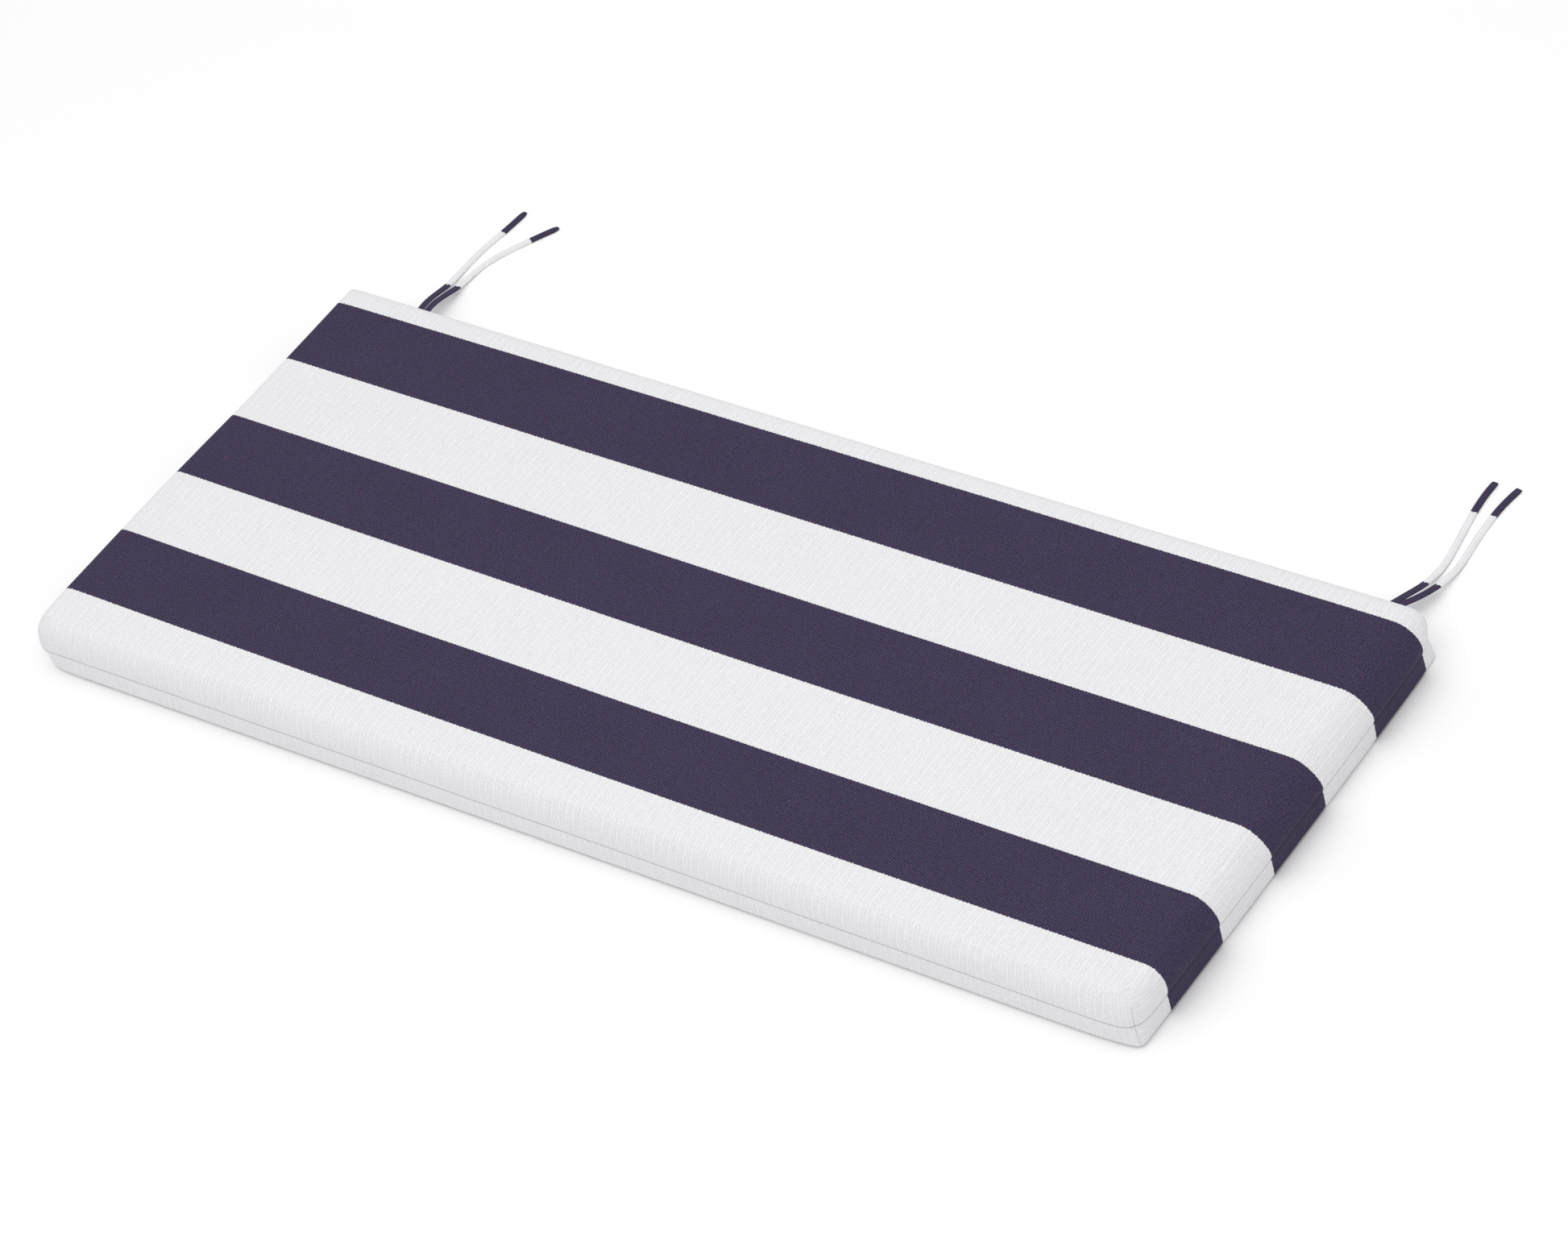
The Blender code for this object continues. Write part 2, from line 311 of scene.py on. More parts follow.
BROAD_SHARE = 0.7  # the broad waves' share of the height, the small ones having the rest
SMALL_WAVE_START = Vector((9.0, 4.0, 2.0))  # keeps the small waves apart from the broad
SEAM_REACH = 0.006  # how far from the seam its gathers reach; its painted shade line uses the same nearness

# ---------------------------------------------------------------- the cloth

STRIPE = 0.0770  # width of a stripe
EDGE_COUNT = 6  # edges between stripes, from the backmost navy one's back edge forwards
# The cloth lies in a slight bow and is pulled a little narrower towards the front.  At
# the left end, the middle and the right end: where the first edge lies, the width of
# the stripe in front of it, and how much each further stripe is narrower.
STRIPE_LIES = (
    (0.2000, 0.0761, 0.0000),
    (0.2009, 0.0803, 0.0015),
    (0.2012, 0.0797, 0.0012),
)
# The weft's thick ribs: millimetres between them, strength and shift of three waves.
# The threads themselves are 0.6 mm apart and too fine to show, so they are drawn coarser.
RIBS = ((7.35, 0.24, 1.57), (3.675, 0.46, 1.57), (2.45, 0.46, 1.57))
TWILL = (0.172, 0.437)  # slanting lines per millimetre along and across the stripes
# Each pattern's grains: millimetres along and across the stripes, and how fine in detail.
GRAINS = {
    "slubs": (1.4, 18.0, 2.0),
    "threads": (8.0, 2.2, 1.0),
    "grain": (1.3, 1.3, 1.0),
    "drift": (14.0, 40.0, 1.0),
    "mottle": (90.0, 60.0, 2.0),
    "gathers": (9.0, 7.0, 1.0),
}
GRAIN_ROUGHNESS = 0.6  # share of each finer layer of a pattern
RIB_DRIFT = 1.4  # millimetres that the ribs wander
# How strongly each pattern shows in the brightness of the two yarns.
WHITE_YARN = {"ribs": 0.055, "slubs": 0.12, "threads": 0.06, "grain": 0.32, "mottle": 0.02}
NAVY_YARN = {"twill": 0.27, "slubs": 0.30, "threads": 0.28, "grain": 1.60, "mottle": 0.12}
BRIGHTEST_WHITE = 1.2
DARKEST_NAVY = 0.15
WARM_FLECK = 2.1  # millimetres along the stripes
COOL_FLECK = 1.7
FLECK_STRETCH = 1.7  # how much longer a fleck is across the stripes
FLECK_RANGE = (0.42, 0.68)  # where the noise starts to be a fleck, and where it is one
# In stripe widths: how far a stripe's edge steps from rib to rib, frays and blends.
EDGE_STEP = 0.0045
EDGE_FRAY = 0.012
EDGE_BLEND = 0.012
SEAM_SHADE_LINE = (0.90, 0.97)  # where the painted shade along the seam's groove starts, and where it is full
# Where the painted shade down a corner's dart crease starts, and where it is full.
DART_SHADE_LINE = (0.88, 0.98)
# How dark the painted shade in the seam groove and down the dart creases is.
GROOVE_SHADE_DARKNESS = 0.45
# How high the patterns stand in the weave's bump, in millimetres.
RELIEF = {"ribs": 0.020, "slubs": 0.07, "grain": 0.06, "gathers": 0.5}


def near(a, b):
    """True where two cage coordinates are the same line."""
    return abs(a - b) < SAME_LINE


def row_at(height):
    """The side row at a height of the cage box."""
    return next(row for row in SIDE_ROWS if near(row["height"], height))


def at_corner_of(values, x, y):
    """Of four values, one for each corner, the one for the corner nearest to a point."""
    return values[CORNERS.index((y > 0.0, x < 0.0))]


def softness(x, y):
    """0 where an end's roll is tight, 1 where it is soft."""
    start, finish = SOFTENS_LEFT if x < 0.0 else SOFTENS_RIGHT
    part = min(max((y - start) / (finish - start), 0.0), 1.0)
    return part * part * (3.0 - 2.0 * part)


def blended(line, x, y):
    """A row's or a line's value at an end: from its tight one to its soft or folded one."""
    loose = line["fold"] if x < 0.0 else line["soft"]
    return line["tight"] + (loose - line["tight"]) * softness(x, y)


def cut_across(cage, axis, place):
    """Cut the whole box by the plane where the axis has the value place."""
    point = Vector((0.0, 0.0, 0.0))
    point[axis] = place
    normal = Vector((0.0, 0.0, 0.0))
    normal[axis] = 1.0
    everything = cage.verts[:] + cage.edges[:] + cage.faces[:]
    bmesh.ops.bisect_plane(cage, geom=everything, plane_co=point, plane_no=normal)


def spans(half, step):
    """Places of the cage's lines between the outer ones, at even steps."""
    room = half - 2 * EDGE_LINES[-1]["cut"]
    count = math.floor(2 * room / step)
    return [-room + 2 * room * index / count for index in range(count + 1)]


def cage_box(half_length, half_depth):
    """A box on the floor, cut into the cage's grid of rows and lines."""
    top = SIDE_ROWS[0]["height"]
    cage = bmesh.new()
    bmesh.ops.create_cube(cage, size=1.0)
    bmesh.ops.scale(cage, vec=(2 * half_length, 2 * half_depth, top), verts=cage.verts)
    bmesh.ops.translate(cage, vec=(0.0, 0.0, top / 2), verts=cage.verts)
    for line in EDGE_LINES:
        for side in (-1, 1):
            cut_across(cage, 0, side * (half_length - line["cut"]))
            cut_across(cage, 1, side * (half_depth - line["cut"]))
    for place in spans(half_length, SPAN_STEP_X):
        cut_across(cage, 0, place)
    for place in spans(half_depth, SPAN_STEP_Y):
        cut_across(cage, 1, place)
    for row in SIDE_ROWS[1:-1]:
        cut_across(cage, 2, row["height"])
    return cage


class CushionShape:
    """Where each point of the cage box goes on the soft cushion."""

    def __init__(self, sizes):
        self.sizes = sizes
        self.half_length = sizes.length / 2
        self.half_depth = sizes.depth / 2

    def at_side(self, point):
        """True on the box's four upright faces."""
        return near(abs(point.x), self.half_length) or near(abs(point.y), self.half_depth)

    def at_corner(self, point):
        """True on the box's four upright edges, where the darts are sewn."""
        return near(abs(point.x), self.half_length) and near(abs(point.y), self.half_depth)

    def rounded(self, x, y, rounding):
        """A point of a ring, moved in where the ring's corner is rounded in plan."""
        radius = at_corner_of(rounding, x, y)
        past_x = abs(x) - (self.half_length - radius)
        past_y = abs(y) - (self.half_depth - radius)
        if past_x <= 0.0 or past_y <= 0.0:
            return x, y
        shrink = radius / math.hypot(past_x, past_y)
        x = math.copysign(self.half_length - radius + past_x * shrink, x)
        y = math.copysign(self.half_depth - radius + past_y * shrink, y)
        return x, y

    def side(self, x, y, row):
        """A point of the sides: rolled, drawn in, and creased at the darts."""
        on_end = near(abs(x), self.half_length)
        on_long = near(abs(y), self.half_depth)
        near_end = max(0.0, 1.0 - (self.half_length - abs(x)) / CORNER_REACH)
        near_long = max(0.0, 1.0 - (self.half_depth - abs(y)) / CORNER_REACH)
        swell = self.sizes.end_swell * (1.0 - (y / self.half_depth) ** 2)
        out_end = blended(row, x, y) + swell * row["swell"]
        out_long = row["long"]
        out_long -= self.sizes.drawn_in * (1.0 - (x / self.half_length) ** 2)
        if y < 0.0 and x > self.half_length - TIP_REACH:
            part = 1.0 - (self.half_length - x) / TIP_REACH
            out_long -= TIP_PULL * part ** 2 * max(0.0, 1.0 - row["height"] / TIP_HEIGHT)
        groove = 0.0
        if near(row["height"], SEAM_HEIGHT):
            groove = self.sizes.seam_depth
        x, y = self.rounded(x, y, row["rounding"])
        if on_end and on_long:
            groove += self.sizes.dart_depth * row["dart"] * HALF_WAY_ROUND
        out_end = out_end * near_end - (groove if on_end else 0.0)
        out_long = out_long * near_long - (groove if on_long else 0.0)
        x += math.copysign(1.0, x) * out_end
        y += math.copysign(1.0, y) * out_long
        return Vector((x, y, max(row["height"], RIM_LIFT)))

    def top(self, x, y):
        """A point of the top: a shallow crown, soft at the ends."""
        drop = 0.0
        flat_x, flat_y = x, y
        for line in EDGE_LINES:
            outermost = line is EDGE_LINES[0]
            if near(abs(flat_x), self.half_length - line["cut"]):
                x = math.copysign(self.half_length - blended(line, flat_x, flat_y), x)
                drop = TOP_LINE_DROP if outermost else drop
            if near(abs(flat_y), self.half_depth - line["cut"]):
                y = math.copysign(self.half_depth - line["long"], y)
                drop = TOP_LINE_DROP if outermost else drop
        # The outermost line turns its corners as the row below it does.
        cut = EDGE_LINES[0]["cut"]
        at_end = near(abs(flat_x), self.half_length - cut)
        if at_end and near(abs(flat_y), self.half_depth - cut):
            inward = at_corner_of(SIDE_ROWS[0]["rounding"], x, y) * (1.0 - HALF_WAY_ROUND)
            x -= math.copysign(inward, x)
            y -= math.copysign(inward, y)
        rise = (1.0 - (x / self.half_length) ** 2) * (1.0 - (y / self.half_depth) ** 2)
        return Vector((x, y, self.sizes.edge_height - drop + self.sizes.crown * rise))

    def under(self, x, y):
        """A point of the underside: flat, its outer lines near the rim."""
        flat_x, flat_y = x, y
        for line in EDGE_LINES:
            if near(abs(flat_x), self.half_length - line["cut"]):
                x = math.copysign(self.half_length - line["under"], x)
            if near(abs(flat_y), self.half_depth - line["cut"]):
                y = math.copysign(self.half_depth - line["under"], y)
        x, y = self.rounded(x, y, SIDE_ROWS[-1]["rounding"])
        return Vector((x, y, 0.0))

    def place(self, point):
        """Where a point of the box goes."""
        x, y, z = point
        if self.at_side(point):
            return self.side(x, y, row_at(z))
        if near(z, 0.0):
            return self.under(x, y)
        return self.top(x, y)

    def cloth(self, point, wall):
        """The cloth's own coordinates at a point of the box, on one of its walls.

        The first runs along the stripes and the second across them.  On the sides they
        go on from the top's edge by the length of cloth down the wall.
        """
        x, y, z = point
        if wall == 2:
            place = self.place(point)
            return place.x, place.y
        run = 0.0
        outs = [blended(row, x, y) if wall == 0 else row["long"] for row in SIDE_ROWS]
        for upper, lower, out, further in zip(SIDE_ROWS, SIDE_ROWS[1:], outs, outs[1:]):
            if z < upper["height"] - SAME_LINE:
                run += math.hypot(upper["height"] - lower["height"], further - out)
        if wall == 0:
            return math.copysign(self.half_length + outs[0] + run, x), y
        return x, math.copysign(self.half_depth + outs[0] + run, y)


def wall_of(face):
    """The axis that a face of the box looks along."""
    normal = [abs(part) for part in face.normal]
    return normal.index(max(normal))


def build_cage(shape):
    """The cushion's cage: cloth coordinates laid on the box, then each point moved."""
    cage = cage_box(shape.half_length, shape.half_depth)
    cloth = cage.loops.layers.uv.new("cloth")
    crease = cage.edges.layers.float.new("crease_edge")
    dart = cage.verts.layers.float.new("dart")
    cage.normal_update()
    for face in cage.faces:
        wall = wall_of(face)
        for loop in face.loops:
            loop[cloth].uv = shape.cloth(loop.vert.co, wall)
    for edge in cage.edges:
        ends = [vert.co for vert in edge.verts]
        if all(near(end.z, SEAM_HEIGHT) for end in ends):
            edge[crease] = 1.0
        if all(shape.at_corner(end) for end in ends):
            edge[crease] = min(row_at(end.z)["dart"] for end in ends)
        if all(near(end.z, 0.0) and shape.at_side(end) for end in ends):
            edge[crease] = RIM_CREASE
    # How dark the painted shade along each corner's dart crease is, row by row.
    for vert in cage.verts:
        if shape.at_corner(vert.co):
            vert[dart] = row_at(vert.co.z)["dart_shade"]
    for vert in cage.verts:
        vert.co = shape.place(vert.co.copy())
    return cage


def smoothed(cage, levels):
    """The cage smoothed into one fine mesh."""
    coarse = bpy.data.meshes.new("cage")
    cage.to_mesh(coarse)
    cage.free()
    piece = bpy.data.objects.new("cage", coarse)
    bpy.context.scene.collection.objects.link(piece)
    smoothing = piece.modifiers.new("smoothing", "SUBSURF")
    smoothing.levels = levels
    smoothing.render_levels = levels
    graph = bpy.context.evaluated_depsgraph_get()
    fine = bpy.data.meshes.new_from_object(
        piece.evaluated_get(graph), preserve_all_data_layers=True, depsgraph=graph
    )
    bpy.data.objects.remove(piece, do_unlink=True)
    bpy.data.meshes.remove(coarse)
    return fine


def make_uneven(mesh, height):
    """Give the padded cloth soft waves, and leave the flat underside alone."""
    normals = [vert.normal.copy() for vert in mesh.vertices]
    for vert, normal in zip(mesh.vertices, normals):
        share = min(max((vert.co.z - WAVE_START) / WAVE_START, 0.0), 1.0)
        broad = noise.noise(vert.co / BROAD_WAVE)
        small = noise.noise(vert.co / SMALL_WAVE + SMALL_WAVE_START)
        wave = BROAD_SHARE * broad + (1.0 - BROAD_SHARE) * small
        vert.co += normal * height * share * wave
    mesh.update()


def stripe_place(x, y, half_length):
    """How many stripes a point lies in front of the backmost navy stripe's back edge."""
    along = x / half_length
    edges = []
    for index in range(EDGE_COUNT):
        left, middle, right = (
            first - width * index + narrowing * index * (index - 1) / 2
            for first, width, narrowing in STRIPE_LIES
        )
        bow = (left + right) / 2 - middle
        edges.append(middle + (right - left) / 2 * along + bow * along ** 2)
    if y >= edges[0]:
        return (edges[0] - y) / STRIPE
    for index, (back, front) in enumerate(zip(edges, edges[1:])):
        if y >= front:
            return index + (back - y) / (back - front)
    return len(edges) - 1 + (edges[-1] - y) / STRIPE


def paint_places(mesh, half_length):
    """Write where the stripes and the seam lie, for the cloth's material, whose painted shade
    line and gathers follow the seam.
    """
    stripe = mesh.attributes.new("stripe", "FLOAT", "POINT")
    seam = mesh.attributes.new("seam", "FLOAT", "POINT")
    for index, vert in enumerate(mesh.vertices):
        stripe.data[index].value = stripe_place(vert.co.x, vert.co.y, half_length)
        off = abs(vert.co.z - SEAM_HEIGHT)
        seam.data[index].value = max(0.0, 1.0 - off / SEAM_REACH)


# ---------------------------------------------------------------- ties


def read_smooth(route):
    """Points close together on a smooth curve through the route's points."""
    knots = [Vector(point) for point in route]
    before = knots[0] * 2 - knots[1]
    after = knots[-1] * 2 - knots[-2]
    knots = [before] + knots + [after]
    points = []
    for index in range(1, len(knots) - 2):
        a, b, c, d = knots[index - 1:index + 3]
        for step in range(READ_STEPS):
            t = step / READ_STEPS
            curve = b * 2 + (c - a) * t
            curve += (a * 2 - b * 5 + c * 4 - d) * t ** 2
            curve += (b * 3 - a - c * 3 + d) * t ** 3
            points.append(curve / 2)
    points.append(knots[-2])
    return points


class TiePath:
    """A tie's centre line, by the length along it."""

    def __init__(self, route):
        self.points = read_smooth(route)
        self.lengths = [0.0]
        for start, finish in zip(self.points, self.points[1:]):
            self.lengths.append(self.lengths[-1] + (finish - start).length)
        self.length = self.lengths[-1]

    def at(self, along):
        """Point and direction at a length along the line."""
        last = len(self.points) - 2
        index = 0
        while index < last and self.lengths[index + 1] < along:
            index += 1
        start, finish = self.points[index:index + 2]
        stretch = self.lengths[index + 1] - self.lengths[index]
        part = (along - self.lengths[index]) / stretch
        before = self.points[max(index - 2, 0)]
        after = self.points[min(index + 3, last + 1)]
        return start.lerp(finish, part), (after - before).normalized()


def tie_box(length, sizes):
    """A straight strip along Y, cut across at even steps and beside its edges."""
    strip = bmesh.new()
    bmesh.ops.create_cube(strip, size=1.0)
    size = (sizes.width, length, sizes.thickness)
    bmesh.ops.scale(strip, vec=size, verts=strip.verts)
    bmesh.ops.translate(strip, vec=(0.0, length / 2, 0.0), verts=strip.verts)
    count = round(length / TIE_STEP)
    for index in range(1, count):
        cut_across(strip, 1, length * index / count)
    for place in (TIE_EDGE - sizes.width / 2, 0.0, sizes.width / 2 - TIE_EDGE):
        cut_across(strip, 0, place)
    return strip


def build_tie(name, tie, sizes, cloth_material):
    """One tie: a folded strip of the cover's cloth laid along its route."""
    path = TiePath(tie["route"])
    strip = tie_box(path.length, sizes)
    cloth = strip.loops.layers.uv.new("cloth")
    stripe = strip.verts.layers.float.new("stripe")
    start, finish = tie["white"]
    for face in strip.faces:
        for loop in face.loops:
            x, y, z = loop.vert.co
            loop[cloth].uv = (x + z, y)
    for vert in strip.verts:
        along = vert.co.y
        # Counted as on the cover: a whole number is an edge between navy and white.
        if along < start:
            vert[stripe] = 0.5 + 0.5 * along / start
        elif along < finish:
            vert[stripe] = 1.0 + (along - start) / (finish - start)
        else:
            vert[stripe] = 2.0 + (along - finish) / STRIPE
        left = (path.length - along) / sizes.width
        narrow = tie["tip"] + (1.0 - tie["tip"]) * min(left / TIE_TIP, 1.0)
        point, direction = path.at(along)
        side = direction.cross(Vector((0.0, 0.0, 1.0))).normalized()
        up = side.cross(direction).normalized()
        vert.co = point + side * (vert.co.x * narrow) + up * vert.co.z
    mesh = bpy.data.meshes.new(name + "_cloth")
    strip.to_mesh(mesh)
    strip.free()
    mesh.shade_smooth()
    mesh.materials.append(cloth_material)
    piece = bpy.data.objects.new(name + "_cloth", mesh)
    bpy.context.scene.collection.objects.link(piece)
    rounding = piece.modifiers.new("rounding", "SUBSURF")
    rounding.levels = 2
    rounding.render_levels = 2
    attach(piece, "root")
    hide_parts(name)


# ---------------------------------------------------------------- materials


def add(tree, kind, inputs=None, **settings):
    """One node with its settings; each input is a value or the socket that feeds it."""
    node = tree.nodes.new(kind)
    for name, value in settings.items():
        setattr(node, name, value)
    for socket, source in (inputs or {}).items():
        if isinstance(source, bpy.types.NodeSocket):
            tree.links.new(source, node.inputs[socket])
        else:
            node.inputs[socket].default_value = source
    return node


def calculate(tree, operation, *values):
    """The socket of a sum or a function of sockets and numbers."""
    node = add(tree, "ShaderNodeMath", dict(enumerate(values)), operation=operation)
    return node.outputs[0]


def striped_acrylic(name, colours):
    """Solution-dyed acrylic yarn in a plain canvas weave, striped along the warp.

    To the eye: quite matt, with thick and thin weft ribs that run across the stripes,
    short slubs, a fine twill-like shimmer in the navy, and stripe edges that step from
    rib to rib.
    """
    material = bpy.data.materials.new(name)
    material.use_nodes = True
    tree = material.node_tree
    shader = tree.nodes["Principled BSDF"]
    place = add(tree, "ShaderNodeUVMap", uv_map="cloth").outputs["UV"]
    place = add(
        tree, "ShaderNodeVectorMath", {0: place, "Scale": 1000.0}, operation="SCALE"
    ).outputs[0]  # millimetres of cloth

    def texture(size_along, size_across, detail=1.0):
        """Noise whose grains have these sizes in millimetres."""
        sized = add(
            tree, "ShaderNodeMapping",
            {"Vector": place, "Scale": (1 / size_along, 1 / size_across, 1.0)},
        ).outputs[0]
        return add(
            tree, "ShaderNodeTexNoise",
            {"Vector": sized, "Scale": 1.0, "Detail": detail,
             "Roughness": GRAIN_ROUGHNESS},
            noise_dimensions="2D",
        ).outputs["Fac"]

    def centred(value, strength):
        """A 0 to 1 value as one from minus to plus half the strength."""
        return calculate(tree, "MULTIPLY", calculate(tree, "SUBTRACT", value, 0.5), strength)

    noises = {name: texture(*sizes) for name, sizes in GRAINS.items()}

    def shaded(value, strengths):
        """A brightness with the uneven yarn's patterns added to it."""
        for pattern in ("slubs", "threads", "grain", "mottle"):
            value = calculate(tree, "ADD", value, centred(noises[pattern], strengths[pattern]))
        return value

    split = add(tree, "ShaderNodeSeparateXYZ", {0: place})
    along = calculate(tree, "ADD", split.outputs["X"], centred(noises["drift"], RIB_DRIFT))
    ribs = 0.0
    for period, strength, shift in RIBS:
        turn = calculate(tree, "MULTIPLY_ADD", along, math.tau / period, shift)
        ribs = calculate(tree, "MULTIPLY_ADD", calculate(tree, "SINE", turn), strength, ribs)
    slant = calculate(tree, "MULTIPLY", split.outputs["Y"], math.tau * TWILL[1])
    slant = calculate(tree, "MULTIPLY_ADD", along, math.tau * TWILL[0], slant)
    twill = calculate(tree, "SINE", slant)

    light = calculate(tree, "MULTIPLY_ADD", ribs, WHITE_YARN["ribs"], 1.0)
    light = calculate(tree, "MINIMUM", shaded(light, WHITE_YARN), BRIGHTEST_WHITE)
    dark = calculate(tree, "MULTIPLY_ADD", twill, NAVY_YARN["twill"], 1.0)
    dark = calculate(tree, "MAXIMUM", shaded(dark, NAVY_YARN), DARKEST_NAVY)

    def between(value, limits):
        """0 below the first limit, 1 above the second, and even between them."""
        return add(
            tree, "ShaderNodeMapRange",
            {"Value": value, "From Min": limits[0], "From Max": limits[1]},
        ).outputs[0]

    navy = (*colours.navy, 1.0)
    for tint, size in ((colours.navy_warm, WARM_FLECK), (colours.navy_cool, COOL_FLECK)):
        fleck = between(texture(size, size * FLECK_STRETCH), FLECK_RANGE)
        navy = add(
            tree, "ShaderNodeMix", {"Factor": fleck, 6: navy, 7: (*tint, 1.0)},
            data_type="RGBA",
        ).outputs[2]
    navy = add(
        tree, "ShaderNodeVectorMath", {0: navy, "Scale": dark}, operation="SCALE"
    ).outputs[0]
    white = add(
        tree, "ShaderNodeVectorMath", {0: colours.white, "Scale": light},
        operation="SCALE",
    ).outputs[0]

    stripe = add(tree, "ShaderNodeAttribute", attribute_name="stripe").outputs["Fac"]
    stripe = calculate(tree, "MULTIPLY_ADD", ribs, EDGE_STEP, stripe)
    stripe = calculate(tree, "ADD", stripe, centred(noises["grain"], EDGE_FRAY))
    wave = calculate(tree, "SINE", calculate(tree, "MULTIPLY", stripe, math.pi))
    is_navy = between(wave, (-EDGE_BLEND, EDGE_BLEND))
    cloth = add(
        tree, "ShaderNodeMix", {"Factor": is_navy, 6: white, 7: navy}, data_type="RGBA"
    ).outputs[2]

    # Painted shade: a thin dark line mixed into the colour along the seam's groove and down
    # each corner's dart crease.
    seam = add(tree, "ShaderNodeAttribute", attribute_name="seam").outputs["Fac"]
    dart = add(tree, "ShaderNodeAttribute", attribute_name="dart").outputs["Fac"]
    line = calculate(tree, "MAXIMUM", between(seam, SEAM_SHADE_LINE), between(dart, DART_SHADE_LINE))
    painted_shade = calculate(tree, "MULTIPLY", line, GROOVE_SHADE_DARKNESS)
    cloth = add(
        tree, "ShaderNodeMix", {"Factor": painted_shade, 6: cloth, 7: (0.0, 0.0, 0.0, 1.0)},
        data_type="RGBA",
    ).outputs[2]
    tree.links.new(cloth, shader.inputs["Base Color"])

    # The gathers are highest at the seam and fall off quickly beside it.
    gather = calculate(tree, "POWER", seam, 2.0)
    gather = calculate(tree, "MULTIPLY", gather, RELIEF["gathers"])
    height = calculate(tree, "MULTIPLY", ribs, RELIEF["ribs"])
    height = calculate(tree, "ADD", height, centred(noises["slubs"], RELIEF["slubs"]))
    height = calculate(tree, "ADD", height, centred(noises["grain"], RELIEF["grain"]))
    height = calculate(
        tree, "MULTIPLY_ADD", gather, centred(noises["gathers"], 1.0), height
    )
    bump = add(
        tree, "ShaderNodeBump",
        {"Height": height, "Strength": 1.0, "Distance": 0.001},
    ).outputs[0]
    tree.links.new(bump, shader.inputs["Normal"])
    shader.inputs["Roughness"].default_value = 0.85
    shader.inputs["Metallic"].default_value = 0.0
    shader.inputs["Specular IOR Level"].default_value = 0.12
    shader.inputs["Sheen Weight"].default_value = 0.03
    shader.inputs["Sheen Roughness"].default_value = 0.45
    return material


def studio_paper(colour):
    """Seamless white paper, quite matt, so that the floor stays even and free of grey."""
    material = bpy.data.materials.new("studio_paper")
    material.use_nodes = True
    shader = material.node_tree.nodes["Principled BSDF"]
    shader.inputs["Base Color"].default_value = (*colour, 1.0)
    shader.inputs["Roughness"].default_value = 0.9
    shader.inputs["Specular IOR Level"].default_value = 0.1
    return material


# ---------------------------------------------------------------- operators


class BENCH_CUSHION_OT_stage(bpy.types.Operator):
    """Make the plain floor, the soft studio light and the photograph's camera"""

    bl_idname = "bench_cushion.stage"
    bl_label = "Make the stage"

    def execute(self, context):
        scene = context.scene
        studio = scene.bench_cushion_studio
        self.make_camera(scene)
        sheet = bmesh.new()
        bmesh.ops.create_grid(sheet, x_segments=1, y_segments=1, size=FLOOR_SIZE / 2)
        bmesh.ops.translate(sheet, vec=(0.0, 0.0, -FLOOR_DROP), verts=sheet.verts)
        mesh = bpy.data.meshes.new("floor")
        sheet.to_mesh(mesh)
        sheet.free()
        mesh.materials.append(studio_paper(studio.floor))
        floor = bpy.data.objects.new("floor", mesh)
        scene.collection.objects.link(floor)

        self.make_light(scene, "ceiling_light", CEILING_PLACE, CEILING_SIZE, studio.ceiling)
        self.make_light(scene, "key_light", KEY_PLACE, KEY_SIZE, studio.key)
        world = bpy.data.worlds.new("even_light")
        world.use_nodes = True
        sky = world.node_tree.nodes["Background"]
        sky.inputs["Color"].default_value = (1.0, 1.0, 1.0, 1.0)
        sky.inputs["Strength"].default_value = studio.fill
        scene.world = world
        scene.view_settings.view_transform = "Standard"
        return {"FINISHED"}

    @staticmethod
    def make_light(scene, name, place, size, power):
        """A round soft light that faces the cushion."""
        light = bpy.data.lights.new(name, "AREA")
        light.energy = power
        light.shape = "DISK"
        light.size = size
        lamp = bpy.data.objects.new(name, light)
        lamp.location = place
        lamp.rotation_euler = Vector(place).to_track_quat("Z", "Y").to_euler()
        scene.collection.objects.link(lamp)

    @staticmethod
    def make_camera(scene):
        """The camera, where the photograph was taken from."""
        around = math.radians(CAMERA_AZIMUTH)
        above = math.radians(CAMERA_ELEVATION)
        back = Vector((
            math.sin(around) * math.cos(above),
            -math.cos(around) * math.cos(above),
            math.sin(above),
        ))
        data = bpy.data.cameras.new("camera")
        data.lens = CAMERA_LENS
        data.sensor_width = 36.0
        data.sensor_fit = "HORIZONTAL"
        camera = bpy.data.objects.new("camera", data)
        camera.location = Vector(CAMERA_AIM) + back * CAMERA_DISTANCE
        roll = Quaternion((0.0, 0.0, 1.0), math.radians(CAMERA_ROLL))
        camera.rotation_euler = (back.to_track_quat("Z", "Y") @ roll).to_euler()
        scene.collection.objects.link(camera)
        scene.camera = camera


class BENCH_CUSHION_OT_ties(bpy.types.Operator):
    """Make the four ties of folded cloth"""

    bl_idname = "bench_cushion.ties"
    bl_label = "Make the ties"

    def execute(self, context):
        scene = context.scene
        cloth = striped_acrylic("tie_acrylic_canvas", scene.bench_cushion_colours)
        for name, tie in TIES.items():
            build_tie(name, tie, scene.bench_cushion_tie, cloth)
        return {"FINISHED"}


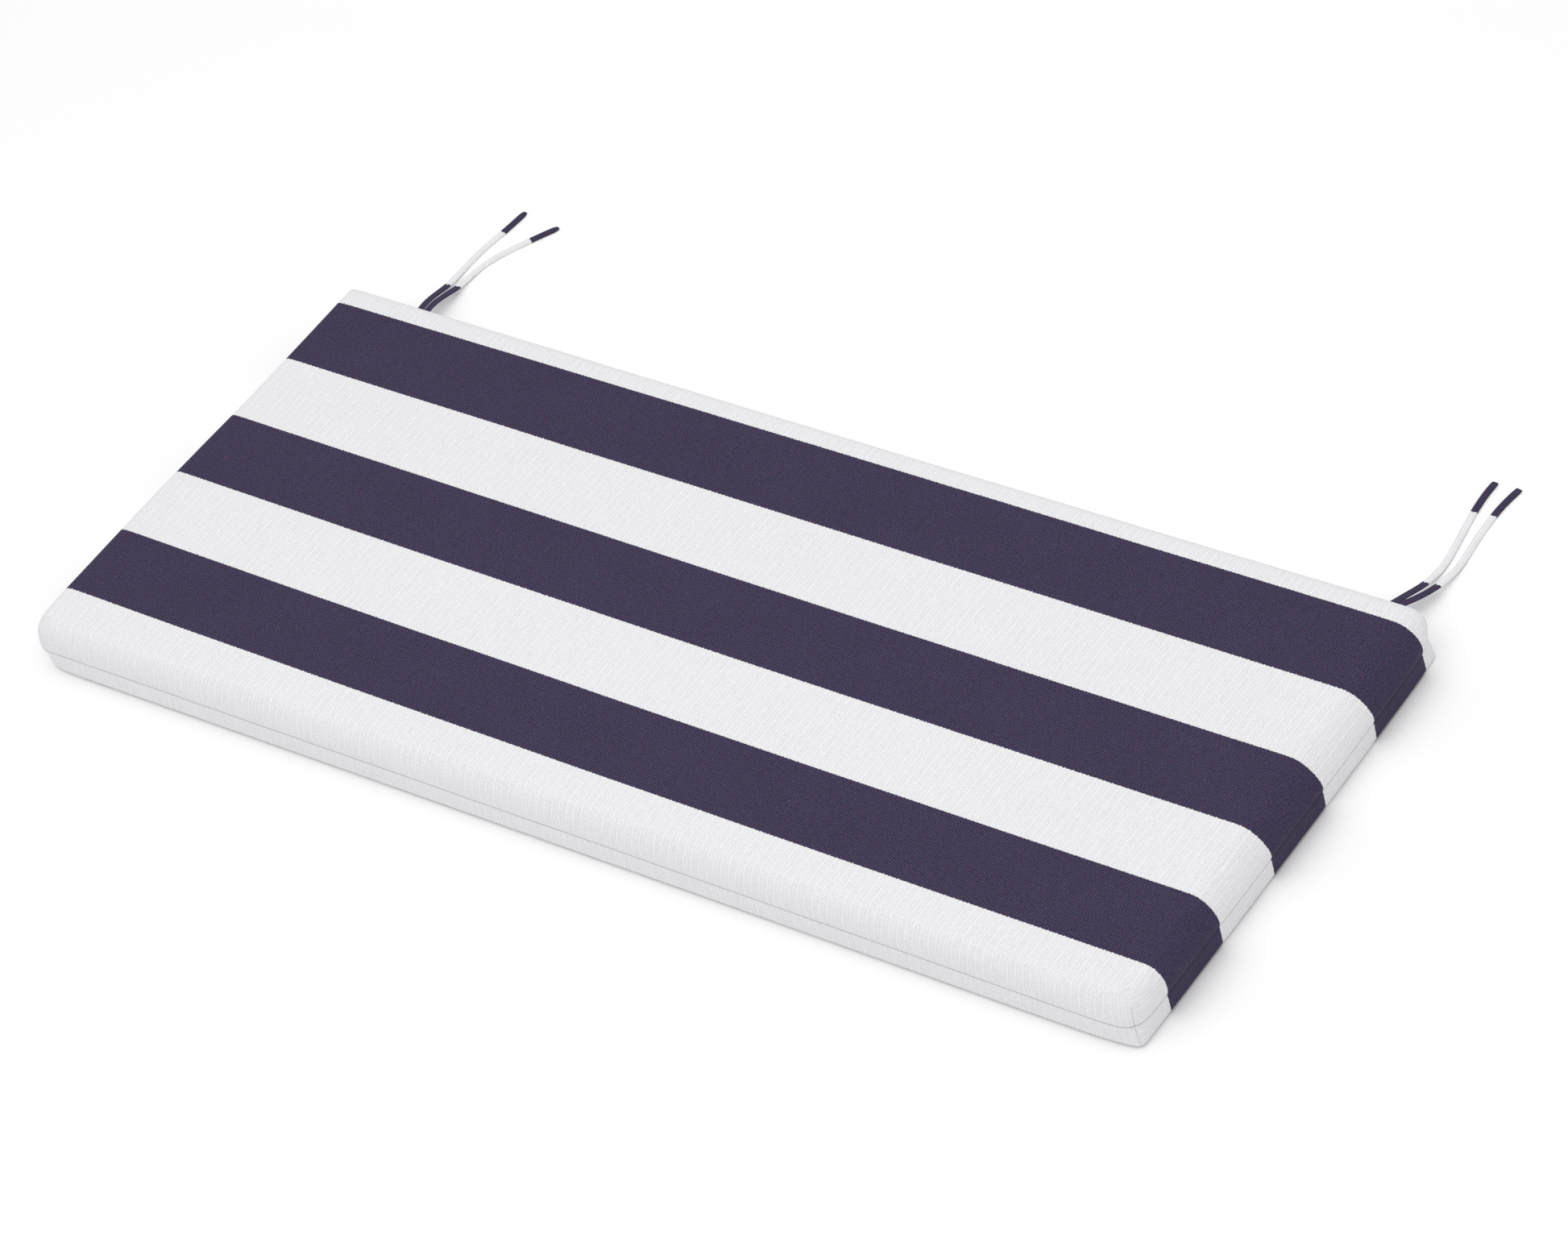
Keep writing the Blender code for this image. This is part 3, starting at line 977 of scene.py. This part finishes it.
class BENCH_CUSHION_OT_cushion(bpy.types.Operator):
    """Make the filled cushion in its striped cover"""

    bl_idname = "bench_cushion.cushion"
    bl_label = "Make the cushion"

    def execute(self, context):
        scene = context.scene
        sizes = scene.bench_cushion_sizes
        shape = CushionShape(sizes)
        mesh = smoothed(build_cage(shape), SMOOTHING)
        make_uneven(mesh, sizes.unevenness)
        paint_places(mesh, shape.half_length)
        mesh.shade_smooth()
        mesh.materials.clear()
        mesh.materials.append(
            striped_acrylic("cover_acrylic_canvas", scene.bench_cushion_colours)
        )
        mesh.name = "filled_cover"
        cushion = bpy.data.objects.new("filled_cover", mesh)
        scene.collection.objects.link(cushion)
        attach(cushion, "root")
        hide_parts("cushion")
        return {"FINISHED"}


class BENCH_CUSHION_PT_panel(bpy.types.Panel):
    """The cushion's operators, sizes and colours"""

    bl_idname = "BENCH_CUSHION_PT_panel"
    bl_label = "Bench cushion"
    bl_space_type = "VIEW_3D"
    bl_region_type = "UI"
    bl_category = "Cushion"

    def draw(self, context):
        column = self.layout.column()
        for operator in OPERATORS:
            column.operator(operator.bl_idname)
        for name, group in GROUPS.items():
            settings = getattr(context.scene, name)
            box = self.layout.box()
            for key in group.__annotations__:
                box.prop(settings, key)


GROUPS = {
    "bench_cushion_sizes": CushionSizes,
    "bench_cushion_tie": TieSizes,
    "bench_cushion_colours": ClothColours,
    "bench_cushion_studio": StudioSettings,
}
OPERATORS = (BENCH_CUSHION_OT_stage, BENCH_CUSHION_OT_ties, BENCH_CUSHION_OT_cushion)


def register():
    """Make the classes known, and give each scene its settings."""
    for group in GROUPS.values():
        bpy.utils.register_class(group)
    for operator in OPERATORS:
        bpy.utils.register_class(operator)
    bpy.utils.register_class(BENCH_CUSHION_PT_panel)
    for name, group in GROUPS.items():
        setattr(bpy.types.Scene, name, PointerProperty(type=group))


def unregister():
    """Take the settings and the classes away again."""
    for name in GROUPS:
        delattr(bpy.types.Scene, name)
    bpy.utils.unregister_class(BENCH_CUSHION_PT_panel)
    for operator in reversed(OPERATORS):
        bpy.utils.unregister_class(operator)
    for group in reversed(GROUPS.values()):
        bpy.utils.unregister_class(group)


def main():
    """Make everything."""
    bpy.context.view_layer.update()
    register()
    bpy.ops.bench_cushion.stage()
    bpy.ops.bench_cushion.ties()
    bpy.ops.bench_cushion.cushion()


if __name__ == "__main__":
    main()
